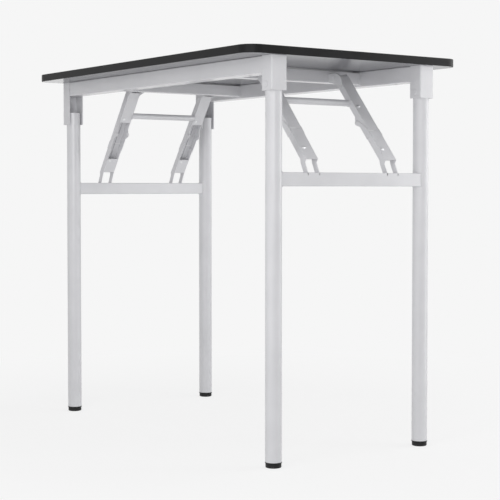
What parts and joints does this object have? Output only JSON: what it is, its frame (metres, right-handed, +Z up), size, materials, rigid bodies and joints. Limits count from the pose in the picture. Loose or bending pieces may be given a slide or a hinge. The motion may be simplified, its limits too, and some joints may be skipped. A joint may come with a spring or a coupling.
{
  "type": "folding desk",
  "caption": "Rectangular black desk top on a light steel frame; tube leg frames fold flat under it, held open by jointed channel braces.",
  "frame": {"origin": "centre of the footprint on the floor, legs open", "axes": "+X along the long side to the end whose leg pivots sit higher, +Y to the rear long side, +Z up"},
  "size_m": [0.8, 0.5, 0.743],
  "materials": {
    "board": "raw particleboard core",
    "top_laminate": "black matte laminate",
    "underside_laminate": "grey backing laminate",
    "edge_band": "black plastic edge band, semi-gloss",
    "frame_paint": "light silver-grey powder coat",
    "zinc_steel": "zinc-plated steel",
    "foot_plastic": "black moulded plastic"
  },
  "bodies": {
    "top_frame": {"tabletop_board": "board", "top_laminate": "top_laminate", "underside_laminate": "underside_laminate", "edge_band": "edge_band", "long_rail_front": "frame_paint", "long_rail_rear": "frame_paint", "cross_rail_right": "frame_paint", "cross_rail_left": "frame_paint", "leg_bracket_front_right": "frame_paint", "leg_bracket_rear_right": "frame_paint", "leg_bracket_front_left": "frame_paint", "leg_bracket_rear_left": "frame_paint", "brace_mount_front_right": "frame_paint", "brace_mount_rear_right": "frame_paint", "brace_mount_front_left": "frame_paint", "brace_mount_rear_left": "frame_paint", "rail_screws": "zinc_steel", "leg_pivot_pins_right": "frame_paint", "leg_pivot_pins_left": "frame_paint", "arm_pins_right": "frame_paint", "arm_pins_left": "frame_paint"},
    "leg_frame_right": {"leg_tube_front_right": "frame_paint", "leg_tube_rear_right": "frame_paint", "crossbar_right": "frame_paint", "foot_cap_front_right": "foot_plastic", "foot_cap_rear_right": "foot_plastic", "link_pins_right": "zinc_steel", "hinge_plates_right": "zinc_steel"},
    "leg_frame_left": {"leg_tube_front_left": "frame_paint", "leg_tube_rear_left": "frame_paint", "crossbar_left": "frame_paint", "foot_cap_front_left": "foot_plastic", "foot_cap_rear_left": "foot_plastic", "link_pins_left": "zinc_steel", "hinge_plates_left": "zinc_steel"},
    "upper_arms_right": {"upper_arm_front_right": "frame_paint", "upper_arm_rear_right": "frame_paint", "tie_rod_right": "frame_paint", "knee_studs_right": "frame_paint", "arm_rivets_right": "zinc_steel"},
    "upper_arms_left": {"upper_arm_front_left": "frame_paint", "upper_arm_rear_left": "frame_paint", "tie_rod_left": "frame_paint", "knee_studs_left": "frame_paint", "arm_rivets_left": "zinc_steel"},
    "lower_links_right": {"lower_link_front_right": "frame_paint", "lower_link_rear_right": "frame_paint", "knee_rivets_right": "frame_paint", "link_rivets_right": "zinc_steel"},
    "lower_links_left": {"lower_link_front_left": "frame_paint", "lower_link_rear_left": "frame_paint", "knee_rivets_left": "frame_paint", "link_rivets_left": "zinc_steel"}
  },
  "joints": [
    {"name": "leg_fold_right", "type": "hinge", "parent": "top_frame", "child": "leg_frame_right", "pos_m": [0.372, 0, 0.6775], "axis": [0, 1, 0], "range_deg": [0, 90]},
    {"name": "upper_arm_swing_right", "type": "hinge", "parent": "top_frame", "child": "upper_arms_right", "pos_m": [0.2266, 0, 0.7098], "axis": [0, -1, 0], "range_deg": [0, 48.23]},
    {"name": "lower_link_swing_right", "type": "hinge", "parent": "leg_frame_right", "child": "lower_links_right", "pos_m": [0.3758, 0, 0.5189], "axis": [0, 1, 0], "range_deg": [0, 25.53]},
    {"name": "leg_fold_left", "type": "hinge", "parent": "top_frame", "child": "leg_frame_left", "pos_m": [-0.372, 0, 0.6465], "axis": [0, -1, 0], "range_deg": [0, 90]},
    {"name": "upper_arm_swing_left", "type": "hinge", "parent": "top_frame", "child": "upper_arms_left", "pos_m": [-0.2401, 0, 0.7098], "axis": [0, 1, 0], "range_deg": [0, 50.62]},
    {"name": "lower_link_swing_left", "type": "hinge", "parent": "leg_frame_left", "child": "lower_links_left", "pos_m": [-0.3758, 0, 0.5027], "axis": [0, -1, 0], "range_deg": [0, 11.63]}
  ],
  "couplings": [
    {"joint": "upper_arm_swing_right", "follows": "leg_fold_right", "ratio": 0.53575},
    {"joint": "lower_link_swing_right", "follows": "leg_fold_right", "ratio": 0.28352},
    {"joint": "upper_arm_swing_left", "follows": "leg_fold_left", "ratio": 0.56238},
    {"joint": "lower_link_swing_left", "follows": "leg_fold_left", "ratio": 0.12907}
  ]
}
